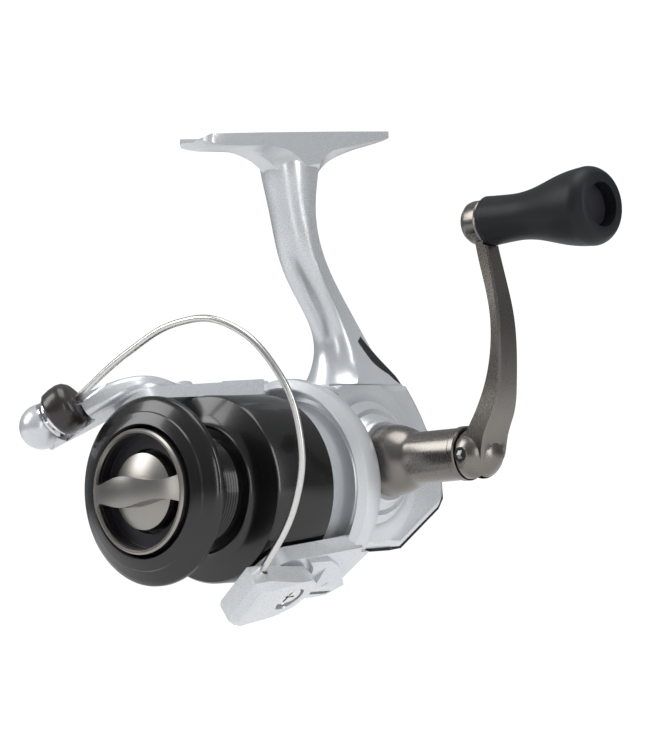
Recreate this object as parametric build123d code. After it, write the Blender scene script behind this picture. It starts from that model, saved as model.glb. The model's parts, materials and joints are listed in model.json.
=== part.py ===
from build123d import *
import os
from math import atan2, cos, degrees, pi, radians, sin, sqrt

# An open-face spinning reel. Millimetres. The main shaft lies along Y with the spool towards -Y,
# the foot is on top (+Z) and the handle is on the right (+X). The origin is the point of the
# main shaft straight below the handle axis.

HANDLE_Z = 4.7  # height of the handle axis above the main shaft
RUNNING_GAP = 0.05  # radial gap of a part that turns or slides in another

# main shaft, pinion and drive gear
SHAFT_RADIUS = 1.9
SHAFT_FRONT = -66.0
SHAFT_REAR = 23.0
DRIVE_TEETH = 40
PINION_TEETH = 8
MESH_RADIUS = 13.9  # where the drive gear's teeth meet the pinion, from the handle axis
MESH_Y = -sqrt(MESH_RADIUS**2 - HANDLE_Z**2)
SPIRAL_ANGLE = atan2(HANDLE_Z, -MESH_Y)
PINION_PITCH_RADIUS = MESH_RADIUS * PINION_TEETH / DRIVE_TEETH / cos(SPIRAL_ANGLE)
PINION_TIP_RADIUS = 3.5
PINION_ROOT_RADIUS = 2.5
PINION_TOOTH_REAR = -9.4
PINION_TOOTH_FRONT = -17.8
PINION_SHANK_RADIUS = 3.5
PINION_THREAD_RADIUS = 3.0
PINION_FRONT = -35.8
DRIVE_GEAR_RADIUS = 15.4
DRIVE_TOOTH_INNER = 12.2
DRIVE_TOOTH_TIP_X = 2.6
DRIVE_TOOTH_ROOT_X = 3.8
DRIVE_DISC_X = 6.2

# crank gears that move the spool in and out
CRANK_MODULE = 0.75
CRANK_PINION_TEETH = 12
CRANK_GEAR_TEETH = 28
CRANK_Y = 14.6
CRANK_Z = 1.0
CRANK_THROW = 6.5
CRANK_FACE_LEFT = -10.4
CRANK_FACE_RIGHT = -8.5
SLIDER_Y = 19.4
SLIDER_HALF = 3.0
SLIDER_LEFT = -7.6
GUIDE_X = -3.2
GUIDE_HEIGHTS = (-7.0, 9.0)
GUIDE_RADIUS = 1.0

# housing
WALL = 2.0
HOUSING_LEFT = -13.0
SPLIT_X = 8.0  # plane between the housing and its side cover
COVER_X = 10.4
SEAM_Z = 23.8
SEAM_GAP = 0.6
NOSE_RADIUS = 16.8
NOSE_FRONT = -27.2
HOUSING_FRONT = -8.5
TAPER_X = 3.0  # from here to the right the body narrows towards its rear
SCREW_POSTS = ((17.4, 19.4), (27.3, -3.2), (4.0, -12.4))
POST_RADIUS = 1.8
SCREW_HEAD_RADIUS = 1.6
SCREW_RADIUS = 1.0
PLATE_SCREWS = tuple((12.4 * cos(radians(a)), 12.4 * sin(radians(a))) for a in (90, 210, 330))
BEARING_OUTER = 7.0
BEARING_INNER = 3.5

# rotor
RING_RADIUS = 25.5
RING_FRONT = -16.0
HUB_WALL_OUTER = 19.5
HUB_WALL_INNER = 17.7
ROTOR_FRONT = -33.0
ROTOR_TURN = -33.0  # degrees about the main shaft, from arms upright to the rest position
ARM_INNER = 22.5
ARM_OUTER = 26.2
ARM_HALF_WIDTH = 7.2
ARM_NOSE = 6.9  # radius of an arm's rounded front
BAIL_Y = -37.0
SPRING_X = -3.2
SPRING_HEIGHT = 25.5
TONGUE_Y = -49.3  # centre of the rounded end of the roller arm
TONGUE_TOP = 24.8
LEVER_A_TOP = 28.0
LEVER_B_BOTTOM = 27.1
LEVER_B_TOP = 33.2
HEAD_FLOOR = 29.4  # seat of the screw head in that lever
COVER_A_OUTER = 28.3
COVER_B_OUTER = 28.9
COVER_SCREW_Y = (-25.4, -19.6)
COVER_SCREW_END = 27.4
COVER_SCREW_RADIUS = 0.7

# bail
WIRE_RADIUS = 0.8
WIRE_PATH = (
    (-7.0, -60.8, 32.1), (12.0, -60.1, 30.6), (28.0, -59.1, 26.5), (37.9, -57.8, 18.4),
    (41.9, -55.3, 2.6), (37.2, -53.0, -12.0), (26.2, -51.6, -22.3), (5.0, -50.8, -29.2),
)  # (sideways, along the shaft, towards the roller arm), arms upright
ROLLER_CENTRE = (-12.0, -62.0, 32.0)
ROLLER_TILT = 19.4  # degrees the roller axis leans back from sideways
CAP_SEAT = -1.9  # face of the wire cap towards the roller
ROLLER_SEAT = -3.8  # face of the lever's dome, along the roller axis

# spool
FLANGE_RADIUS = 21.5
SKIRT_RADIUS = 21.66
ARBOR_RADIUS = 12.25
SPOOL_BORE = SHAFT_RADIUS + 0.06

# handle
SLEEVE_RADIUS = 6.07
SLEEVE_END = 42.4
FOLD_X = 44.6
FOLD_Z = 4.3
BALL_RADIUS = 6.1  # round end of the arm at the folding joint
PIN_RADIUS = 1.3
PIN_HEAD_RADIUS = 1.75
ARM_TOP_Z = 57.4
KNOB_START = 52.6
KNOB_END = 85.4
FOOT_SLOPE = 4.0 / 63.2
FOOT_FRONT = -43.2
FOOT_REAR = 23.6
SEAT_Y = -9.8  # the parts are exported with their origin on the foot's top, here
FOOT_HEIGHT = 84.5  # top of the foot above the main shaft, at y = 0
KNOB_BORE = 2.6


# ---------------------------------------------------------------- simple shapes


def rod_x(radius, start, end, y=0.0, z=0.0):
    return Pos((start + end) / 2, y, z) * Rot(0, 90, 0) * Cylinder(radius, abs(end - start))


def rod_y(radius, start, end, x=0.0, z=0.0):
    return Pos(x, (start + end) / 2, z) * Rot(90, 0, 0) * Cylinder(radius, abs(end - start))


def rod_z(radius, start, end, x=0.0, y=0.0):
    return Pos(x, y, (start + end) / 2) * Cylinder(radius, abs(end - start))


def block(x, y, z):
    """A box between the two limits given for each axis."""
    size = (x[1] - x[0], y[1] - y[0], z[1] - z[0])
    return Pos((x[0] + x[1]) / 2, (y[0] + y[1]) / 2, (z[0] + z[1]) / 2) * Box(*size)


def turned_y(*profile):
    """A solid turned about the main shaft from (radius, y) corners."""
    return revolve(make_face(Polyline(*profile, close=True)), Axis.Y)


def turned_x(*profile, z=HANDLE_Z, y=0.0):
    """A solid turned about an axis along X from (x, radius) corners."""
    return Pos(0, y, z) * revolve(make_face(Polyline(*profile, close=True)), Axis.X)


def plate_x(face, start, end):
    """A face drawn in (y, z), given thickness from start to end along X."""
    return Pos(start, 0, 0) * extrude(Plane.YZ * face, end - start)


def plate_z(face, start, end):
    """A face drawn in (x, y), given thickness from start to end along Z."""
    return Pos(0, 0, start) * extrude(face, end - start)


def group(*shapes):
    return Compound(children=[solid for shape in shapes for solid in shape.solids()])


def turned_rotor(shape):
    """Carries a part drawn with the rotor arms upright to the rest position."""
    return Rot(0, ROTOR_TURN, 0) * shape


def screw_x(head_x, tip_x, y, z, direction):
    """A cross-head screw along X whose head seats at head_x."""
    head_end = head_x - direction * 1.2
    screw = rod_x(SCREW_RADIUS, head_x, tip_x, y, z) + rod_x(SCREW_HEAD_RADIUS, head_x, head_end, y, z)
    slot_x = sorted((head_end, head_end + direction * 0.6))
    screw -= block(slot_x, (y - 1.1, y + 1.1), (z - 0.2, z + 0.2))
    return screw - block(slot_x, (y - 0.2, y + 0.2), (z - 1.1, z + 1.1))


def cross_screw_z(radius, head_radius, tip_z, seat_z, top_z, x, y):
    """A cross-head screw along Z, its head between seat_z and top_z."""
    screw = rod_z(radius, tip_z, seat_z, x, y) + rod_z(head_radius, seat_z, top_z, x, y)
    depth = (top_z - seat_z) * 0.6
    slot_z = sorted((top_z, top_z - depth))
    reach = head_radius * 0.62
    screw -= block((x - reach, x + reach), (y - 0.3, y + 0.3), slot_z)
    return screw - block((x - 0.3, x + 0.3), (y - reach, y + reach), slot_z)


def gear_face(teeth, module, phase):
    """A spur gear outline with play between the teeth; phase is the angle of one tooth."""
    pitch_radius = module * teeth / 2
    tip = pitch_radius + 0.75 * module
    root = pitch_radius - 1.15 * module
    step = 2 * pi / teeth
    corners = []
    for tooth in range(teeth):
        middle = radians(phase) + tooth * step
        for radius, share in ((root, -0.3), (tip, -0.1), (tip, 0.1), (root, 0.3)):
            angle = middle + share * step
            corners.append((radius * cos(angle), radius * sin(angle)))
    return make_face(Polyline(*corners, close=True))


# ---------------------------------------------------------------- housing


def body_outline(x, shrink):
    """The side view of the gear housing at x; shrink pulls in its rear."""
    tail = 31.5 - shrink
    bottom = Spline((HOUSING_FRONT, -13.2), (2.0, -14.4), (8.0, -15.2), (14.4 - shrink, -15.3))
    lower_rear = Line((14.4 - shrink, -15.3), (28.3 - 0.5 * shrink, -7.2 + 0.35 * shrink))
    end = ThreePointArc(lower_rear @ 1, (tail - 0.1, -4.4 + 0.35 * shrink), (tail, 0.4))
    rear = Spline((tail, 0.4), (27.2 - shrink, 12.8), (20.4 - 1.2 * shrink, SEAM_Z))
    top = Line(rear @ 1, (HOUSING_FRONT, SEAM_Z))
    front = Line((HOUSING_FRONT, SEAM_Z), (HOUSING_FRONT, -13.2))
    return Pos(x, 0, 0) * (Plane.YZ * make_face([bottom, lower_rear, end, rear, top, front]))


def body_blank():
    """The full gear body before it is split into housing and side cover."""
    level = body_outline(TAPER_X, 0)
    blank = extrude(Pos(HOUSING_LEFT - TAPER_X, 0, 0) * level, TAPER_X - HOUSING_LEFT)
    left_edges = blank.edges().filter_by_position(Axis.X, HOUSING_LEFT - 0.1, HOUSING_LEFT + 0.1)
    return fillet(left_edges, 3.5) + loft([level, body_outline(COVER_X, 3.0)], ruled=True)


def stem_section(z, front, side, rear, side_half, rear_half):
    """One level of the stem: round in front, a crisp line down each side, flat behind."""
    bow = ThreePointArc((-side_half, side), (0, front), (side_half, side))
    right = Line((side_half, side), (rear_half, rear))
    back = Line((rear_half, rear), (-rear_half, rear))
    left = Line((-rear_half, rear), (-side_half, side))
    return Pos(0, 0, z) * make_face([bow, right, back, left])


def stem():
    levels = (
        (SEAM_Z - 0.1, -4.2, 0.2, 18.4, 9.2, 7.4),
        (29.0, -1.8, 3.4, 13.0, 6.8, 5.8),
        (36.0, -1.5, 2.6, 8.8, 5.2, 4.6),
        (47.5, -8.0, -4.3, 0.6, 5.2, 4.5),
        (57.5, -12.5, -8.4, -4.6, 5.4, 4.7),
        (67.0, -14.5, -8.6, -5.4, 5.5, 4.7),
        (78.0, -16.2, -7.6, -3.4, 5.6, 4.9),
    )
    return loft([stem_section(*level) for level in levels])


def foot_top(y):
    return FOOT_HEIGHT + FOOT_SLOPE * y


def foot_side(x, drop, flare):
    """The foot seen from the side at x; drop lowers its underside and flare widens its root."""
    front_top = (FOOT_FRONT, foot_top(FOOT_FRONT))
    rear_top = (FOOT_REAR, foot_top(FOOT_REAR))
    rear_low = (FOOT_REAR, rear_top[1] - 1.2 - 0.3 * drop)
    front_low = (FOOT_FRONT, front_top[1] - 1.1)
    root_rear = (-4.4 + flare, 76.6 - drop)
    root_front = (-10.0 - 1.6 * flare, 75.8 - drop)
    top = Line(front_top, rear_top)
    rear_end = Line(rear_top, rear_low)
    rear_under = Spline(rear_low, (14.0, 82.8 - 0.5 * drop), (5.0, 80.9 - 0.9 * drop),
                        (-1.6 + flare, 79.1 - drop), root_rear)
    middle = Line(root_rear, root_front)
    front_under = Spline(root_front, (-13.2 - 1.6 * flare, 78.2 - 0.9 * drop), (-26.0, 79.9 - 0.35 * drop),
                         front_low)
    tip = Line(front_low, front_top)
    return Pos(x, 0, 0) * (Plane.YZ * make_face([top, rear_end, rear_under, middle, front_under, tip]))


def foot():
    """The foot that the rod's reel seat clamps: rounded ends, hollow top, keeled underside."""
    flat_half = 2.4
    edge_half = 6.3
    keel = extrude(foot_side(-flat_half, 2.2, 2.6), 2 * flat_half)
    for side in (-1, 1):
        keel += loft([foot_side(side * flat_half, 2.2, 2.6), foot_side(side * edge_half, 0, 0)], ruled=True)
    plan = make_face(
        [
            ThreePointArc((-40.2, -5.2), (FOOT_FRONT, 0), (-40.2, 5.2)),
            Spline((-40.2, 5.2), (-20.0, 6.2), (8.0, 6.2), (22.0, 5.6)),
            ThreePointArc((22.0, 5.6), (FOOT_REAR, 0), (22.0, -5.6)),
            Spline((22.0, -5.6), (8.0, -6.2), (-20.0, -6.2), (-40.2, -5.2)),
        ]
    )
    shape = keel & (Pos(0, 0, 66) * extrude(Rot(0, 0, 90) * plan, 24))
    # hollow top: the seat rests on the two long rails
    hollow_radius = 9.6
    hollow_depth = 1.4
    lean = Rot(90 + degrees(atan2(FOOT_SLOPE, 1)), 0, 0)
    hollow = Pos(0, 0, FOOT_HEIGHT + hollow_radius - hollow_depth) * lean
    return shape - hollow * Cylinder(hollow_radius, 110)


def nose():
    """The round front of the housing that carries the pinion inside the rotor."""
    return turned_y(
        (0, NOSE_FRONT), (NOSE_RADIUS - 0.6, NOSE_FRONT), (NOSE_RADIUS, NOSE_FRONT + 0.6),
        (NOSE_RADIUS, -12.4), (18.6, -10.6), (18.6, HOUSING_FRONT), (0, HOUSING_FRONT),
    )


def cavity():
    """The room for the gears, open towards the side cover."""
    front = HOUSING_FRONT + WALL
    top = SEAM_Z - WALL
    left = Polyline((front, -11.4), (10.0, -13.2), (15.0, -13.3), (27.4, -6.1), (29.4, -3.4), (29.3, 0.2),
                    (25.2, 12.0), (18.6, top), (front, top), close=True)
    right = Polyline((front, -11.4), (9.0, -13.2), (11.6, -12.6), (25.0, -4.8), (26.4, -3.0), (26.3, 0.2),
                     (22.2, 12.0), (15.4, top), (front, top), close=True)
    room = plate_x(make_face(left), HOUSING_LEFT + WALL, TAPER_X)
    return room + plate_x(make_face(right), TAPER_X, SPLIT_X + 0.01)


def gear_well():
    """Room for the drive gear inside the nose."""
    return rod_x(DRIVE_GEAR_RADIUS + 0.5, DRIVE_TOOTH_TIP_X - 0.6, SPLIT_X, 0, HANDLE_Z)


def housing():
    blank = body_blank()
    body = blank & block((HOUSING_LEFT, SPLIT_X), (-60, 60), (-40, 60))
    body += nose()
    body += rod_x(8.6, -16.6, HOUSING_LEFT + 1, 0, HANDLE_Z)
    body -= cavity()
    body -= gear_well()
    body -= rod_y(4.2, PINION_TOOTH_FRONT, HOUSING_FRONT + 3)
    body -= rod_y(BEARING_OUTER, -22.2, PINION_TOOTH_FRONT)
    body -= rod_y(10.0, NOSE_FRONT, -22.2)
    body -= rod_x(BEARING_OUTER, -15.6, HOUSING_LEFT + WALL, 0, HANDLE_Z)
    body -= rod_x(4.0, -16.7, -15.6, 0, HANDLE_Z)
    for y, z in SCREW_POSTS:
        body += rod_x(POST_RADIUS, HOUSING_LEFT + 1, SPLIT_X, y, z)
        body -= rod_x(SCREW_RADIUS, HOUSING_LEFT, SPLIT_X, y, z)
        body -= rod_x(SCREW_HEAD_RADIUS, HOUSING_LEFT, HOUSING_LEFT + 1.6, y, z)
    body += rod_x(1.5, HOUSING_LEFT + 1, CRANK_FACE_RIGHT - 0.1, CRANK_Y, CRANK_Z)
    for z in GUIDE_HEIGHTS:
        body += block((HOUSING_LEFT + 1, -1.6), (24.4, 26.6), (z - 2, z + 2)) & blank
        body -= rod_y(GUIDE_RADIUS, 24.0, 25.4, GUIDE_X, z)
    for x, z in PLATE_SCREWS:
        body -= rod_y(0.8, NOSE_FRONT, NOSE_FRONT + 3, x, z)
    return body + stem() + foot() - rear_cover()


def cover_blank():
    """The part of the body right of the split, below the seam under the stem."""
    blank = loft([body_outline(TAPER_X, 0), body_outline(COVER_X, 3.0)], ruled=True)
    return blank & block((SPLIT_X, COVER_X), (-60, 60), (-40, SEAM_Z - SEAM_GAP))


def side_cover():
    """The right-hand cover with its stepped boss for the handle bearing."""
    rim = cover_blank()
    rim = chamfer(rim.faces().sort_by(Axis.X)[-1].edges(), 1.3)
    steps = turned_x(
        (SPLIT_X, 0), (SPLIT_X, 21.0), (COVER_X, 19.6), (11.6, 16.6), (12.0, 15.9), (12.0, 14.6),
        (13.3, 13.2),
        (13.9, 12.6), (13.9, 11.5), (15.6, 10.2), (17.0, 9.7), (17.4, 9.3), (17.4, 0),
    )
    reach = extrude(body_outline(SPLIT_X, 2.6), 10)
    cover = rim + (steps & reach & block((SPLIT_X, 18), (-60, 60), (-40, SEAM_Z - SEAM_GAP)))
    cover -= rod_x(BEARING_OUTER, SPLIT_X, 12.6, 0, HANDLE_Z)
    cover -= rod_x(4.4, 12.6, 17.4, 0, HANDLE_Z)
    for y, z in SCREW_POSTS:
        cover -= rod_x(SCREW_RADIUS, SPLIT_X, COVER_X - 0.8, y, z)
    return cover


def rear_cover():
    """The band that wraps the rear of the housing from the stem to the belly."""
    outer = [(7.6, 35.6), (9.4, 33.6), (12.9, 30.2), (18.4, 25.4), (22.8, 20.4), (28.8, 12.0), (32.7, 0.6),
             (32.8, -4.2), (30.8, -6.8), (15.8, -15.8), (11.6, -16.2)]
    inner = [(11.6, -14.8), (14.0, -14.8), (27.9, -6.6), (30.8, -3.8), (30.8, 0.2), (26.6, 12.2),
             (20.2, 22.4),
             (15.6, 24.6), (9.8, 29.4), (6.0, 34.2)]
    band = plate_x(make_face(Polyline(*outer, *inner, close=True)), -6.6, 6.6)
    narrow = Polyline((-6.6, -20), (6.6, -20), (6.6, 26), (4.9, 36), (-4.9, 36), (-6.6, 26), close=True)
    return band & (Pos(0, 60, 0) * extrude(Plane.XZ * make_face(narrow), 100))


def side_cover_screws():
    seat = HOUSING_LEFT + 1.6
    return group(*[screw_x(seat, COVER_X - 0.9, y, z, 1) for y, z in SCREW_POSTS])


# ---------------------------------------------------------------- gear train


def bearing_y(front, rear, outer=BEARING_OUTER, inner=BEARING_INNER):
    """A shielded ball bearing about the main shaft, as one closed ring with a shield step."""
    step = 0.35
    return turned_y(
        (inner, front), (inner + 1, front), (inner + 1, front + step), (outer - 1, front + step),
        (outer - 1, front), (outer, front), (outer, rear), (outer - 1, rear), (outer - 1, rear - step),
        (inner + 1, rear - step), (inner + 1, rear), (inner, rear),
    )


def bearing_x(left, right):
    turned = Pos(0, 0, HANDLE_Z) * Rot(0, 0, -90)
    return turned * bearing_y(left, right)


def drive_tooth(angle):
    """One tooth on the left face of the drive gear."""
    root = DRIVE_TOOTH_ROOT_X + 0.1
    profile = Polyline((root, -0.55), (DRIVE_TOOTH_TIP_X, -0.25), (DRIVE_TOOTH_TIP_X, 0.25), (root, 0.55),
                       close=True)
    length = DRIVE_GEAR_RADIUS - DRIVE_TOOTH_INNER
    tooth = Pos(0, DRIVE_GEAR_RADIUS, 0) * extrude(Plane.XZ * make_face(profile), length)
    return Rot(angle, 0, 0) * tooth


def drive_gear():
    disc = turned_x(
        (DRIVE_TOOTH_ROOT_X, DRIVE_GEAR_RADIUS), (DRIVE_TOOTH_ROOT_X, 11.6), (4.6, 11.2), (4.6, 4.2),
        (DRIVE_TOOTH_ROOT_X, 4.0), (DRIVE_TOOTH_ROOT_X, 2.6), (8.4, 2.6), (8.4, 4.6), (DRIVE_DISC_X, 5.2),
        (DRIVE_DISC_X, DRIVE_GEAR_RADIUS),
    )
    contact = degrees(pi + SPIRAL_ANGLE)
    step = 360 / DRIVE_TEETH
    teeth = [drive_tooth(contact + step * tooth) for tooth in range(DRIVE_TEETH)]
    return disc + [Pos(0, 0, HANDLE_Z) * tooth for tooth in teeth]


def drive_shaft():
    """The hollow gear shaft with the small crank pinion near its left end."""
    shaft = turned_x(
        (-15.4, 1.6), (-15.4, BEARING_INNER), (CRANK_FACE_LEFT - 0.1, BEARING_INNER),
        (CRANK_FACE_LEFT - 0.1, 2.6),
        (8.5, 2.6), (8.5, BEARING_INNER), (12.4, BEARING_INNER), (12.4, 1.6),
    )
    aim = degrees(atan2(CRANK_Z - HANDLE_Z, CRANK_Y))
    pinion = gear_face(CRANK_PINION_TEETH, CRANK_MODULE, aim) - Circle(2.6)
    return shaft + Pos(0, 0, HANDLE_Z) * plate_x(pinion, CRANK_FACE_LEFT, CRANK_FACE_RIGHT)


def oscillation_gear():
    """The crank gear; its pin stops just short of the slider's slot."""
    aim = 180 + degrees(atan2(CRANK_Z - HANDLE_Z, CRANK_Y))
    half_tooth = 180 / CRANK_GEAR_TEETH
    face = gear_face(CRANK_GEAR_TEETH, CRANK_MODULE, aim + half_tooth) - Circle(1.5 + RUNNING_GAP)
    gear = Pos(0, CRANK_Y, CRANK_Z) * plate_x(face, CRANK_FACE_LEFT, CRANK_FACE_RIGHT)
    reach = SLIDER_Y - CRANK_Y
    drop = sqrt(CRANK_THROW**2 - reach**2)
    return gear + rod_x(1.4, CRANK_FACE_RIGHT, SLIDER_LEFT - 0.3, SLIDER_Y, CRANK_Z - drop)


def oscillation_slider():
    span_y = (SLIDER_Y - SLIDER_HALF, SLIDER_Y + SLIDER_HALF)
    slider = block((SLIDER_LEFT, -1.4), span_y, (-8.4, 10.6))
    slider += block((-2, 2.3), span_y, (-3.2, 3.2))
    slot_half = CRANK_THROW + 1.5
    slider -= block((SLIDER_LEFT, SLIDER_LEFT + 2.2), (SLIDER_Y - 1.5, SLIDER_Y + 1.5),
                    (CRANK_Z - slot_half, CRANK_Z + slot_half))
    slider -= rod_y(SHAFT_RADIUS, *span_y)
    for z in GUIDE_HEIGHTS:
        slider -= rod_y(GUIDE_RADIUS + RUNNING_GAP, *span_y, GUIDE_X, z)
    return slider - rod_z(0.8, 0, 3.2, 0, SLIDER_Y)


def slider_screw():
    return cross_screw_z(0.8, 1.4, 1.3, 3.2, 4.2, 0, SLIDER_Y)


def guide_rods():
    lower, upper = GUIDE_HEIGHTS
    return group(
        rod_y(GUIDE_RADIUS, -4.0, 25.4, GUIDE_X, lower), rod_y(GUIDE_RADIUS, -1.0, 25.4, GUIDE_X, upper)
    )


def main_shaft():
    shaft = rod_y(SHAFT_RADIUS, SHAFT_FRONT, SHAFT_REAR)
    for side in (-1, 1):
        flat = sorted((side * 1.55, side * 3))
        shaft -= block(flat, (SHAFT_FRONT, -46.5), (-3, 3))
    stop_pin = rod_x(0.6, -3.2, -1.5, -38.4) + rod_x(0.6, 1.5, 3.2, -38.4)
    return shaft - rod_z(0.8, 1.3, 3, 0, SLIDER_Y) + stop_pin


def pinion_gear():
    """The slanted pinion on its hollow shank, with the thread that carries the rotor nut."""
    corners = []
    for tooth in range(PINION_TEETH):
        middle = pi * (2 * tooth + 1) / PINION_TEETH
        for radius, offset in ((PINION_ROOT_RADIUS, -13), (PINION_TIP_RADIUS, -6), (PINION_TIP_RADIUS, 6),
                               (PINION_ROOT_RADIUS, 13)):
            angle = middle + radians(offset)
            corners.append((radius * cos(angle), radius * sin(angle)))
    # a tooth gap faces the drive gear where the two mesh
    twist = degrees(sin(SPIRAL_ANGLE) / cos(SPIRAL_ANGLE) / PINION_PITCH_RADIUS)
    length = PINION_TOOTH_REAR - PINION_TOOTH_FRONT
    start = twist * (MESH_Y - PINION_TOOTH_FRONT)
    outline = Plane.XZ * make_face(Polyline(*corners, close=True))
    section = Rot(0, start, 0) * Pos(0, PINION_TOOTH_FRONT, 0) * outline
    centre = Vector(0, PINION_TOOTH_FRONT, 0)
    teeth = Solid.extrude_linear_with_rotation(section.face(), centre, Vector(0, length, 0),
                                               -twist * length)
    shank = turned_y(
        (0, PINION_TOOTH_FRONT), (PINION_SHANK_RADIUS, PINION_TOOTH_FRONT), (PINION_SHANK_RADIUS, -33.0),
        (PINION_THREAD_RADIUS, -33.0), (PINION_THREAD_RADIUS, PINION_FRONT), (0, PINION_FRONT),
    )
    boss = rod_y(2.9, PINION_TOOTH_REAR, -7.1)
    return Part() + teeth + shank + boss - rod_y(SHAFT_RADIUS + RUNNING_GAP, PINION_FRONT - 1, -7)


def clutch_ring():
    return turned_y((7.2, -27.1), (10.0, -27.1), (10.0, -22.2), (7.2, -22.2))


def clutch_rollers():
    places = [(6.1 * cos(radians(60 * n)), 6.1 * sin(radians(60 * n))) for n in range(6)]
    return group(*[rod_y(1.0, -26.7, -22.7, x, z) for x, z in places])


def clutch_sleeve():
    return turned_y((PINION_SHANK_RADIUS, -27.0), (5.0, -27.0), (5.0, -22.4), (PINION_SHANK_RADIUS, -22.4))


def clutch_plate():
    plate = turned_y((5.6, -28.2), (14.6, -28.2), (14.6, NOSE_FRONT), (5.6, NOSE_FRONT))
    for x, z in PLATE_SCREWS:
        plate -= rod_y(0.8, -28.2, NOSE_FRONT, x, z)
    return plate


def clutch_plate_screws():
    screws = []
    for x, z in PLATE_SCREWS:
        screw = rod_y(0.8, -28.2, NOSE_FRONT + 2.8, x, z) + rod_y(1.5, -29.1, -28.2, x, z)
        screws.append(screw - block((x - 0.9, x + 0.9), (-29.1, -28.6), (z - 0.25, z + 0.25)))
    return group(*screws)


# ---------------------------------------------------------------- rotor


def arm_outline(half_width, front_y, front_radius, rear):
    """A rotor arm seen from above, as (sideways, along the shaft), with a rounded front."""
    spread = half_width + 2.2
    left = Line((-spread, rear), (-front_radius, front_y))
    nose_arc = ThreePointArc((-front_radius, front_y), (0, front_y - front_radius), (front_radius, front_y))
    right = Line((front_radius, front_y), (spread, rear))
    back = Line((spread, rear), (-spread, rear))
    return make_face([left, nose_arc, right, back])


def rotor():
    """Cup, ring and the two arms, with the roller arm upright."""
    cup = turned_y(
        (PINION_SHANK_RADIUS, ROTOR_FRONT), (HUB_WALL_OUTER - 0.5, ROTOR_FRONT),
        (HUB_WALL_OUTER, ROTOR_FRONT + 0.5), (HUB_WALL_OUTER, -14.6), (20.2, -14.0), (21.2, -14.3),
        (22.2, -15.6), (22.7, -17.0), (23.0, -18.0), (23.4, -18.2), (25.3, -16.9),
        (RING_RADIUS, RING_FRONT),
        (RING_RADIUS, -14.6), (24.9, -12.6), (23.7, -10.4), (22.2, -10.2), (20.6, -11.4),
        (HUB_WALL_INNER + 0.4, -13.0), (HUB_WALL_INNER, -14.0), (HUB_WALL_INNER, -30.4),
        (PINION_SHANK_RADIUS, -30.4),
    )
    shell = turned_y((ARM_INNER, -57), (ARM_OUTER, -57), (ARM_OUTER, -15.2), (ARM_INNER, -15.2))
    roller_arm = shell & plate_z(arm_outline(ARM_HALF_WIDTH, TONGUE_Y, ARM_NOSE, -15.2), 0, 40)
    roller_arm -= block((-20, 20), (-60, BAIL_Y + 7.6), (TONGUE_TOP, 40))
    wire_arm = shell & plate_z(arm_outline(ARM_HALF_WIDTH, BAIL_Y, ARM_NOSE, -15.2), -40, 0)
    boss_down = rod_z(4.2, -27.0, -ARM_INNER - 1, 0, BAIL_Y)
    rotor = cup + roller_arm + wire_arm + boss_down + gusset() + Rot(0, 180, 0) * gusset()
    rotor -= rod_z(1.2, 20, 30, 0, BAIL_Y) + rod_z(1.2, -30, -20, 0, BAIL_Y)
    pockets = spring_pocket()
    for y in COVER_SCREW_Y:
        pockets += rod_z(COVER_SCREW_RADIUS, 24.2, 27, 0, y)
    return rotor - pockets - mirror(pockets, Plane.XY)


def gusset():
    """The sloping shoulder where an arm grows out of the ring."""
    profile = Polyline((-12.2, 24.9), (-14.6, 25.4), (-24.0, 26.1), (-24.0, 24.0), (-16.0, 23.4),
                       close=True)
    shoulder = plate_x(make_face(profile), -ARM_HALF_WIDTH - 1.0, ARM_HALF_WIDTH + 1.0)
    return shoulder & rod_y(ARM_OUTER, -30, -10)


def spring_pocket():
    """Room between an arm and its cover for the bail spring or the trip lever."""
    return block((SPRING_X - 2, SPRING_X + 2), (-26.8, -17.0), (SPRING_HEIGHT - 2, SPRING_HEIGHT + 2))


def arm_cover(outline, top, slant):
    """A cap screwed on a rotor arm, cut away and lowered where the bail lever swings."""
    swing = 10.6
    room = rod_z(8.3, 20, 40, 0, BAIL_Y) + rod_y(ARM_OUTER, -60, 0) + gusset()
    room += block((-20, 20), (-60, BAIL_Y + swing), (LEVER_B_BOTTOM - 0.15, 40))
    cap = plate_z(outline, 24.6, top) - room - spring_pocket()
    # the long sides and the rear slope off
    for turn in (slant, -slant):
        cap -= Rot(0, turn, 0) * block((-40, 40), (-60, 0), (top - 1.4, 60))
    for y in COVER_SCREW_Y:
        cap -= rod_z(COVER_SCREW_RADIUS, 20, COVER_SCREW_END, 0, y)
    return cap


def arm_cover_a():
    """The cover of the bail spring, on the arm with the line roller."""
    outline = arm_outline(ARM_HALF_WIDTH - 0.6, BAIL_Y, 6.6, -15.4)
    cap = arm_cover(outline, COVER_A_OUTER, 16)
    return turned_rotor(cap - block((-20, 20), (-60, BAIL_Y + 9.0), (20, 40)))


def arm_cover_b():
    """The smaller cover of the trip lever, one corner cut back, with a slanted recess."""
    outline = Polyline((-6.6, BAIL_Y), (-7.4, -19.8), (-6.0, -16.2), (0.2, -16.4), (5.4, -21.6),
                       (7.4, -25.8),
                       (7.2, BAIL_Y), close=True)
    cap = arm_cover(make_face(outline), COVER_B_OUTER, 14)
    recess = make_face(Polyline((5.4, -25.6), (2.0, -21.6), (-0.4, -23.4), (2.6, -26.0), close=True))
    cap -= plate_z(recess, COVER_B_OUTER - 0.9, 40)
    return turned_rotor(Rot(0, 180, 0) * mirror(cap, Plane.YZ))


def arm_cover_screws():
    screws = [rod_z(COVER_SCREW_RADIUS, 24.4, COVER_SCREW_END - 0.1, 0, y) for y in COVER_SCREW_Y]
    screws += [Rot(0, 180, 0) * screw for screw in screws]
    return group(*[turned_rotor(screw) for screw in screws])


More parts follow.
